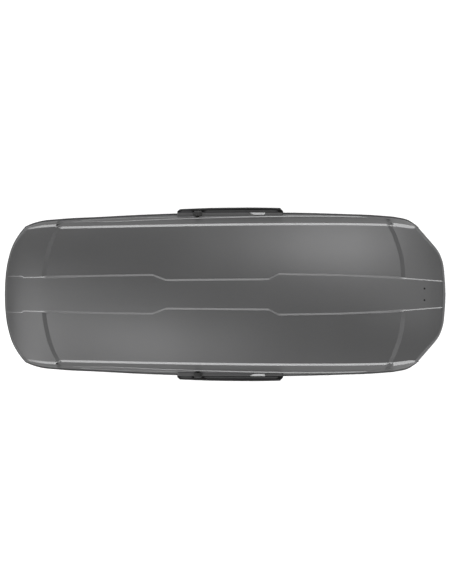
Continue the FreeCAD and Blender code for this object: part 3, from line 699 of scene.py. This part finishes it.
def plan_lattice(stations, steps, lines, shift):
    """Plan positions of a lattice's points over both halves, as arrays of rows by columns.

    A point's half-width depends on its place along the box, which shifts with its half-width, so the two
    are settled in turns.
    """
    columns = sum(steps) + 1
    xs = np.zeros((len(stations), columns))
    ys = np.zeros_like(xs)
    for c in range(columns):
        x = stations.copy()
        for _ in range(SETTLING_TURNS):
            y = column_y(x, c, steps, lines)
            x = stations + shift(stations, y)
        xs[:, c] = x
        ys[:, c] = y
    return np.hstack([xs[:, :0:-1], xs]), np.hstack([-ys[:, :0:-1], ys])


def lid_lattice():
    """Plan positions of the lid's points."""
    return plan_lattice(row_stations(LID_STRETCHES), COLUMN_STEPS, guide_lines, row_shift)


def lid_creases(rows, cols):
    """Paths of vertex numbers along the lid's crisp lines: lengthwise ones and both edges of each band."""
    middle = cols // 2
    stations = list(row_stations(LID_STRETCHES))
    all_rows = range(SOFT_ROWS, rows - SOFT_ROWS)
    bay_rows = range(stations.index(BAND_ROWS[1]), stations.index(BAND_ROWS[2]) + 1)
    paths = []
    offset = 0
    for line, steps in enumerate(COLUMN_STEPS[:BAY_LINES]):
        offset += steps
        along = all_rows if line < CAP_LINES else bay_rows
        for c in (middle - offset, middle + offset):
            paths.append([r * cols + c for r in along])
    strip = COLUMN_STEPS[0] + COLUMN_STEPS[1]
    for station in BAND_ROWS:
        r = stations.index(station)
        paths.append([r * cols + c for c in range(0, middle - strip + 1)])
        paths.append([r * cols + c for c in range(middle + strip, cols)])
    return paths


def unit(vectors):
    """Vectors along the last axis, scaled to a length of 1."""
    return vectors / np.maximum(np.linalg.norm(vectors, axis=-1, keepdims=True), 1e-9)


def lattice_normals(points):
    """Upward unit normals of a lattice of points."""
    return unit(np.cross(np.gradient(points, axis=0), np.gradient(points, axis=1)))


def plan_normals(loop):
    """Outward unit normals of a closed loop of plan points."""
    ahead = np.roll(loop, -1, axis=0) - np.roll(loop, 1, axis=0)
    out = unit(np.stack([ahead[:, 1], -ahead[:, 0]], axis=1))
    return out * np.sign((out * loop).sum())


def lattice_outline(xs, ys):
    """Plan positions of a lattice's border, in order round it."""
    loop = border(*xs.shape)
    return np.stack([xs.ravel()[loop], ys.ravel()[loop]], axis=1)


def offset_ring(outline, out, height):
    """An outline moved outward by a distance, or inward by a negative one, and set at a height."""
    return np.column_stack([outline + plan_normals(outline) * out, np.full(len(outline), height)])


def build_lid():
    """The lid's outer skin and its inner face, joined round the rim."""
    xs, ys = lid_lattice()
    zs = lid_height(xs, ys)
    edge = np.ones(xs.shape, bool)
    edge[1:-1, 1:-1] = False
    zs[edge] = RIM
    outer = np.stack([xs, ys, zs], axis=2)
    normals = lattice_normals(outer)
    level = unit(normals * np.array([1, 1, 0]))
    inner = outer - normals * LID_WALL
    inner[edge] = (outer - level * LID_WALL)[edge]
    inner[..., 2] = np.maximum(inner[..., 2], RIM)
    rows, cols = xs.shape
    count = rows * cols
    loop = border(rows, cols)
    faces = grid_faces(rows, cols) + grid_faces(rows, cols, count, flip=True)
    faces += join_loops([loop, [n + count for n in loop]], flip=True)
    points = np.vstack([outer.reshape(-1, 3), inner.reshape(-1, 3)])
    lid = piece("lid_moulding", points, faces, LID_PAINT, "lid")
    sharpen(lid, 50)
    crisp_paths(lid, lid_creases(rows, cols))
    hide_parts("lid_shell")


def build_dark_edging_painted_shade():
    """A dark plastic edging round the lid's rim that hangs a little over the base; its dark colour is
    painted shade, the shaded lower edge that shows as a dark line round the outline from above.
    """
    outline = lattice_outline(*lid_lattice())
    rings = [offset_ring(outline, out, RIM + z) for out, z in EDGING]
    loft_piece("dark_edging_painted_shade", rings, BASE_PLASTIC, "lid", crisp=35, closed=True)


# ---------------------------------------------------------------- base

BASE_WALL = 4.0
FLOOR_LOW = 48.0
FLOOR_FRONT = 230.0
FLOOR_REAR = 120.0
FLOOR_SHARE = 0.79
WALL_TOP = 164.0
WALL_HEIGHTS = (FLOOR_LOW, 50, 54, 60, 68, 80, 95, 112, 130, 148, WALL_TOP)
FLANGE_TOP = 169.0
SLOT_X = ((-508, -192), (192, 508))
SLOT_Y = (257, 283)
GROOVES = (62, 130, 198)
GROOVE_HALF = 20.0
GROOVE_FLAT = 9.0
GROOVE_DEPTH = 4.0
# where half the box's width is less than this, the grooves and slots draw in with it
FULL_HALF = 407.0
# steps between the base's lengthwise lines, which base_lines works out
BASE_STEPS = (3, 6, 3, 6, 3, 6, 5, 3, 6)

# the wall draws in towards the floor: by a length at the nose and at the tail, and by a share at the sides
wall_front = smooth_curve([(FLOOR_LOW, FLOOR_FRONT), (70, 160), (110, 100), (WALL_TOP, 40)])
wall_rear = smooth_curve([(FLOOR_LOW, FLOOR_REAR), (70, 80), (110, 55), (WALL_TOP, 38)])
wall_share = smooth_curve([(FLOOR_LOW, FLOOR_SHARE), (70, 0.84), (110, 0.88), (WALL_TOP, 0.907)])

# the flange's section, as distances out from the box's outline and heights: its underside, then its top
# with the upstanding lip
FLANGE_UNDER = ((-19, WALL_TOP), (-12.5, 167.2))
FLANGE_OVER = (
    (-20, FLANGE_TOP), (-20, 180), (-19, 181), (-17, 181), (-16, 180), (-16, FLANGE_TOP),
    (-12.5, FLANGE_TOP),
)


def scaled_outline(x, y, front, rear, share):
    """Shrinks plan positions so that the nose, the tail and the sides draw in by their own amounts."""
    start = NOSE_TIP + front
    length = TAIL_TIP - rear - start
    return start + (x - NOSE_TIP) / (TAIL_TIP - NOSE_TIP) * length, y * share


def unscaled_x(x):
    """The full-size station that lands on x once the floor's outline is drawn in."""
    length = TAIL_TIP - FLOOR_REAR - NOSE_TIP - FLOOR_FRONT
    return NOSE_TIP + (x - NOSE_TIP - FLOOR_FRONT) / length * (TAIL_TIP - NOSE_TIP)


def base_stretches():
    """The base's rows, as for the lid: closest at both ends, with a row at each end of the clamp slots."""
    slot_ends = [unscaled_x(x) for pair in SLOT_X for x in pair]
    ends = [-1149, -1080, -760] + slot_ends + [760, 1100, 1149, TAIL_TIP]
    counts = [8, 14, 20, 6, 16, 18, 16, 14, 20, 14, 8]
    return list(zip(ends, counts))


def base_lines(x):
    """Half-widths, at full size, of the floor's lengthwise lines: centre, grooves, clamp slots and edge."""
    narrow = np.minimum(half_width(x) / FULL_HALF, 1)
    sides = [y for centre in GROOVES for y in (centre - GROOVE_HALF, centre + GROOVE_HALF)]
    lines = [y / FLOOR_SHARE * narrow for y in (*sides, *SLOT_Y)]
    return [0 * x, *lines, half_width(x)]


def base_shift(station, y):
    """How far a row of the base is bent along the box at a half-width."""
    nose, tail = tip_shifts(y)
    return nose * ramp(-station, 700, -NOSE_TIP) + tail * ramp(station, 600, TAIL_TIP)


def groove_depth(x, y):
    """Shallow lengthwise grooves that stiffen the floor, with rounded ends; the outer ones are shorter."""
    depth = 0 * x
    for centre in GROOVES:
        across = 1 - ease(np.abs(np.abs(y) - centre), GROOVE_FLAT, GROOVE_HALF)
        front = 0.4 * centre - 780
        rear = 920 - 0.3 * centre
        depth = np.maximum(depth, across * window(x, front, front + 30, rear - 30, rear))
    return GROOVE_DEPTH * depth


def slot_cells(x, y):
    """Which cells of the floor's lattice lie inside the clamp slots."""
    middle_x = (x[:-1, :-1] + x[1:, 1:]) / 2
    middle_y = np.abs(y[:-1, :-1] + y[1:, 1:]) / 2
    inside = np.zeros(middle_x.shape, bool)
    for front, rear in SLOT_X:
        inside |= (middle_x > front) & (middle_x < rear) & (middle_y > SLOT_Y[0]) & (middle_y < SLOT_Y[1])
    return inside


def floor_faces(slots, rows, cols):
    """The floor's two faces, pierced at the slots, and the walls of the slots."""
    count = rows * cols
    solid = np.flatnonzero(~slots.ravel())
    under = np.array(grid_faces(rows, cols, flip=True))[solid].tolist()
    over = np.array(grid_faces(rows, cols, count))[solid].tolist()
    loop = border(rows, cols)
    rim = {frozenset(pair) for pair in zip(loop, loop[1:] + loop[:1])}
    edges = [pair for quad in under for pair in zip(quad, quad[1:] + quad[:1])]
    known = set(edges)
    open_edges = [(a, b) for a, b in edges if (b, a) not in known and frozenset((a, b)) not in rim]
    return under + over + [(b, a, a + count, b + count) for a, b in open_edges]


def wall_ring(outline, z, thick, height):
    """The outline drawn in as the wall is at z, moved inward by a thickness and set at a height."""
    x, y = scaled_outline(outline[:, 0], outline[:, 1], wall_front(z), wall_rear(z), wall_share(z))
    return offset_ring(np.stack([x, y], axis=1), -thick, height)


def build_base():
    """The tub: grooved floor with four clamp slots, curved wall, and a flange with a lip inside the lid."""
    xs, ys = plan_lattice(row_stations(base_stretches()), BASE_STEPS, base_lines, base_shift)
    rows, cols = xs.shape
    count = rows * cols
    loop = border(rows, cols)
    outline = lattice_outline(xs, ys)
    floor_x, floor_y = scaled_outline(xs, ys, FLOOR_FRONT, FLOOR_REAR, FLOOR_SHARE)
    floor_z = FLOOR_LOW - groove_depth(floor_x, floor_y)
    low = np.stack([floor_x, floor_y, floor_z], axis=2).reshape(-1, 3)
    high = low + np.array([0, 0, BASE_WALL])
    high[loop, :2] -= plan_normals(low[loop, :2]) * BASE_WALL

    outer = [wall_ring(outline, z, 0, z) for z in WALL_HEIGHTS[1:]]
    outer += [offset_ring(outline, out, z) for out, z in FLANGE_UNDER]
    inner = [wall_ring(outline, z, BASE_WALL, z + BASE_WALL) for z in WALL_HEIGHTS[1:-1]]
    inner += [wall_ring(outline, WALL_TOP, BASE_WALL, FLANGE_TOP)]
    inner += [offset_ring(outline, out, z) for out, z in FLANGE_OVER]

    starts = [2 * count + r * len(loop) for r in range(len(outer) + len(inner))]
    ring_loops = [list(range(start, start + len(loop))) for start in starts]
    outer_loops = [loop] + ring_loops[:len(outer)]
    inner_loops = [[n + count for n in loop]] + ring_loops[len(outer):]
    faces = floor_faces(slot_cells(floor_x, floor_y), rows, cols)
    faces += join_loops(outer_loops) + join_loops(inner_loops, flip=True)
    faces += join_loops([outer_loops[-1], inner_loops[-1]])
    points = np.vstack([low, high] + outer + inner)
    tub = piece("base_tub", points, faces, BASE_PLASTIC, "base")
    even_normals(tub)
    sharpen(tub, 35)
    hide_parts("base_shell")


# ---------------------------------------------------------------- grips, lock knobs and tail plugs

GRIP_ENDS = (-251.5, 304.0)
GRIP_LOW = 174.0
GRIP_HIGH = 222.0
GRIP_ROOT = 420.0
GRIP_INNER = 429.5
GRIP_WALL = 6.5
GRIP_WIDEST = 455.8
TROUGH_RISE = 32.0
INLAY_MIDDLE = 436.5
INLAY_HALF = 4.6
INLAY_ENDS = {"front": (GRIP_ENDS[0] + 14, -172.0), "rear": (-110.0, GRIP_ENDS[1] - 26)}
# the inlay's section on one side: distance in from its edge and height above the grip's top
INLAY_EDGE = ((0.0, -1.0), (0.0, 0.4), (0.5, 0.9))
SHELF_ROOT = 408.0
SHELF_OUTER = 429.0
SHELF_TOP = 225.0
SHELF_DEPTH = 9.0
WEDGE_RISE = 6.6
WEDGE_WIDTH = 11.0
WEDGE_START = 121.0
WEDGE_FULL = 152.0
WEDGE_EDGE = 205.0
WEDGE_END = 210.0
KNOB_X = -143.0
KNOB_Z = 250.0
# the collar's section: distance from the box's middle, radius, and how much of the flutes' depth it shows
COLLAR = ((429, 9.5, 0), (429, 19.5, 1), (434, 19, 1), (437, 17.5, 0.6), (437, 11.5, 0), (435, 9.5, 0))
FLUTES = 8
FLUTE_DEPTH = 1.6
TAIL_PLUG_X = 1034.0
TAIL_PLUG_Y = 30.0
# the plug's section: height above the lid and radius
PLUG = ((-6, 3.0), (-1.5, 3.0), (-1.5, 5.0), (0.6, 5.0), (1.3, 4.2))

grip_bow = smooth_curve(
    [(GRIP_ENDS[0], 447), (-100, 453), (40, 455.3), (180, GRIP_WIDEST), (GRIP_ENDS[1], 453.5)]
)


def circle(count):
    """Evenly spaced angles once round."""
    return [2 * math.pi * k / count for k in range(count)]


def build_grip(word, side):
    """A long pull grip with a bowed outer face, slanted ends and a finger trough below."""
    start, end = GRIP_ENDS
    stations = [start, start + 3, start + 14, start + 22, start + 30]
    stations += list(np.linspace(start + 45, end - 45, 24))
    stations += [end - 30, end - 22, end - 16, end - 3, end]
    rings = []
    for x in stations:
        reach = window(x, start - 4, start + 14, end - 16, end + 4)
        face = GRIP_INNER + 3 + (grip_bow(x) - GRIP_INNER - 3) * reach
        lip = face - GRIP_WALL * reach
        roof = GRIP_LOW + TROUGH_RISE * window(x, start + 14, start + 30, end - 30, end - 14, ease)
        section = [
            (GRIP_ROOT, GRIP_LOW), (GRIP_ROOT, GRIP_LOW + 30), (GRIP_INNER, GRIP_HIGH - 4),
            (GRIP_INNER + 1, GRIP_HIGH), (face - 9 * reach, GRIP_HIGH), (face - 2, GRIP_HIGH - 5),
            (face, GRIP_HIGH - 12), (face, GRIP_LOW + 4), (face - 2, GRIP_LOW), (lip - 1, GRIP_LOW),
            (lip - 1.5, roof), (GRIP_INNER - 2, roof), (GRIP_INNER - 2.5, GRIP_LOW),
        ]
        rings.append([(x, side * y, z) for y, z in section])
    grip = loft_piece(f"pull_grip_{word}", rings, GRIP_PLASTIC, "lid", crisp=32)
    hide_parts(f"grip_{word}")


def build_grip_inlays(word, side):
    """Two grey inlays on the grip's top, one on either side of the lock knob."""
    for tag, (first, last) in INLAY_ENDS.items():
        rings = []
        for x in np.linspace(first, last, 24):
            middle = INLAY_MIDDLE + (grip_bow(x) - GRIP_WIDEST) * 0.35
            half = INLAY_HALF * window(x, first - 4, first + 12, last - 12, last + 4)
            section = [(inset - half, z) for inset, z in INLAY_EDGE]
            section += [(half - inset, z) for inset, z in reversed(INLAY_EDGE)]
            rings.append([(x, side * (middle + y), GRIP_HIGH + z) for y, z in section])
        loft_piece(f"grip_inlay_{tag}_{word}", rings, INLAY_PLASTIC, "lid", crisp=32)


def build_grip_shelf(word, side):
    """The lid-coloured shelf between wall and grip, with a wedge that rises towards its rear end."""
    start, end = GRIP_ENDS
    stations = [start + 1, start + 6, -60, WEDGE_START, 136, WEDGE_FULL, 178, WEDGE_EDGE, WEDGE_END]
    rings = []
    for x in stations + [end - 6, end - 1]:
        rise = window(x, WEDGE_START, WEDGE_FULL, WEDGE_EDGE, WEDGE_END)
        inner = SHELF_OUTER - 1 - WEDGE_WIDTH * rise
        top = SHELF_TOP - 3 * (1 - window(x, start + 1, start + 6, end - 6, end - 1))
        low = SHELF_TOP - SHELF_DEPTH
        section = [
            (SHELF_ROOT, low), (SHELF_ROOT, top), (inner - 1.5, top), (inner, top + WEDGE_RISE * rise),
            (SHELF_OUTER, top), (SHELF_OUTER, low),
        ]
        rings.append([(x, side * y, z) for y, z in section])
    loft_piece(f"grip_shelf_{word}", rings, LID_PAINT, "lid", crisp=25)


def build_knob_collar(word, side):
    """A fluted collar on the lock knob's face, round the key cylinder."""
    rings = []
    for along, radius, fluted in COLLAR:
        ring = []
        for turn in circle(64):
            r = radius - FLUTE_DEPTH * fluted * (0.5 - 0.5 * math.cos(FLUTES * turn)) ** 3
            ring.append((KNOB_X + r * math.cos(turn), side * along, KNOB_Z + r * math.sin(turn)))
        rings.append(ring)
    name = f"knob_collar_{word}"
    loft_piece(name, rings, KNOB_PLASTIC, f"lock_knob_{word}", crisp=35, closed=True)


def build_tail_plug(word, side):
    """A dark push-in plug in the tail end of the lid's centre strip."""
    level = float(lid_height(np.array(TAIL_PLUG_X), np.array(TAIL_PLUG_Y)))
    rings = []
    for rise, radius in PLUG:
        rings.append([
            (TAIL_PLUG_X + radius * math.cos(t), side * TAIL_PLUG_Y + radius * math.sin(t), level + rise)
            for t in circle(48)
        ])
    plug = loft_piece(f"tail_plug_{word}", rings, GRIP_PLASTIC, "lid", crisp=32)
    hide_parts("tail_rivets")


# ---------------------------------------------------------------- room, camera and light, in metres

# the lens and the sensor in millimetres, as cameras have them
LENS = 200.0
SENSOR = 36.0
FIELD = 3.072
AIM = (0.0042, 0.0122)
FLOOR_HALF = 20.0
BOX_MIDDLE = Vector((0, 0, 0.35))
ROOM_GLOW = 0.41
ROOM_SEEN_GLOW = 0.9
SIDE_DISTANCE = 4.5
SIDE_RISE = math.radians(26)
SIDE_SIZE = (12.5, 1.2)
SIDE_GLOW = 8.5
HIGH_PLACE = (1.46, 1.9, 5.4)
HIGH_SIZE = (2.2, 2.0)
HIGH_GLOW = {"near": 2.0, "far": 3.1}
# soft boxes above the two ends: place, size and brightness
END_BANKS = {
    "nose_bank_high": ((-3.4, -0.9, 4.9), (2.4, 2.4), 1.0),
    "nose_bank_low": ((-4.5, -1.0, 3.1), (3.0, 2.4), 1.45),
    "tail_bank": ((3.3, 0, 4.9), (2.0, 2.0), 1.0),
}


def build_camera():
    """Looks straight down on the box through a long lens; FIELD is what it takes in at the rim's height."""
    data = bpy.data.cameras.new("camera")
    data.lens = LENS
    data.sensor_width = SENSOR
    data.clip_end = 100
    camera = bpy.data.objects.new("camera", data)
    camera.location = (*AIM, RIM * MM + FIELD * LENS / SENSOR)
    bpy.context.scene.collection.objects.link(camera)
    bpy.context.scene.camera = camera


def build_floor():
    """A wide studio floor under the box."""
    mesh = bpy.data.meshes.new("floor")
    corners = ((-1, -1), (1, -1), (1, 1), (-1, 1))
    mesh.from_pydata([(x * FLOOR_HALF, y * FLOOR_HALF, 0) for x, y in corners], [], [(0, 1, 2, 3)])
    mesh.materials.append(floor_material())
    floor = bpy.data.objects.new("floor", mesh)
    bpy.context.scene.collection.objects.link(floor)


def area_light(name, place, size, glow):
    """A soft box that faces the box's middle; glow is the brightness of its face."""
    data = bpy.data.lights.new(name, "AREA")
    data.shape = "RECTANGLE"
    data.size, data.size_y = size
    data.energy = glow * math.pi * size[0] * size[1]
    light = bpy.data.objects.new(name, data)
    bpy.context.scene.collection.objects.link(light)
    light.location = place
    light.rotation_mode = "QUATERNION"
    light.rotation_quaternion = (BOX_MIDDLE - Vector(place)).to_track_quat("-Z", "Y")
    light.visible_camera = False


def build_room():
    """An even white room that looks lighter to the camera than it shines."""
    world = bpy.data.worlds.new("studio")
    world.use_nodes = True
    nodes = world.node_tree.nodes
    background = nodes["Background"]
    background.inputs["Color"].default_value = (1, 1, 1, 1)
    seen = nodes.new("ShaderNodeLightPath")
    strength = nodes.new("ShaderNodeMapRange")
    strength.inputs["To Min"].default_value = ROOM_GLOW
    strength.inputs["To Max"].default_value = ROOM_SEEN_GLOW
    world.node_tree.links.new(seen.outputs["Is Camera Ray"], strength.inputs["Value"])
    world.node_tree.links.new(strength.outputs["Result"], background.inputs["Strength"])
    bpy.context.scene.world = world
    bpy.context.scene.view_settings.view_transform = "Standard"


def build_lights():
    """Long low soft boxes along both sides and fainter high ones over the corners and the ends."""
    out = SIDE_DISTANCE * math.cos(SIDE_RISE)
    up = BOX_MIDDLE.z + SIDE_DISTANCE * math.sin(SIDE_RISE)
    x, y, z = HIGH_PLACE
    for word, side in (("near", -1), ("far", 1)):
        area_light(f"side_bank_{word}", (0, side * out, up), SIDE_SIZE, SIDE_GLOW)
        area_light(f"high_bank_{word}", (side * x, side * y, z), HIGH_SIZE, HIGH_GLOW[word])
    for name, (place, size, glow) in END_BANKS.items():
        area_light(name, place, size, glow)


# ---------------------------------------------------------------- scene

build_camera()
finish_cad_nodes()
build_lid()
# the dark edging round the rim is painted shade along the lid's lower edge
build_dark_edging_painted_shade()
build_base()
for side_word, side_sign in SIDES:
    build_grip(side_word, side_sign)
    build_grip_inlays(side_word, side_sign)
    build_grip_shelf(side_word, side_sign)
    build_knob_collar(side_word, side_sign)
for side_word, side_sign in SIDES:
    build_tail_plug(side_word, side_sign)
build_floor()
build_room()
build_lights()
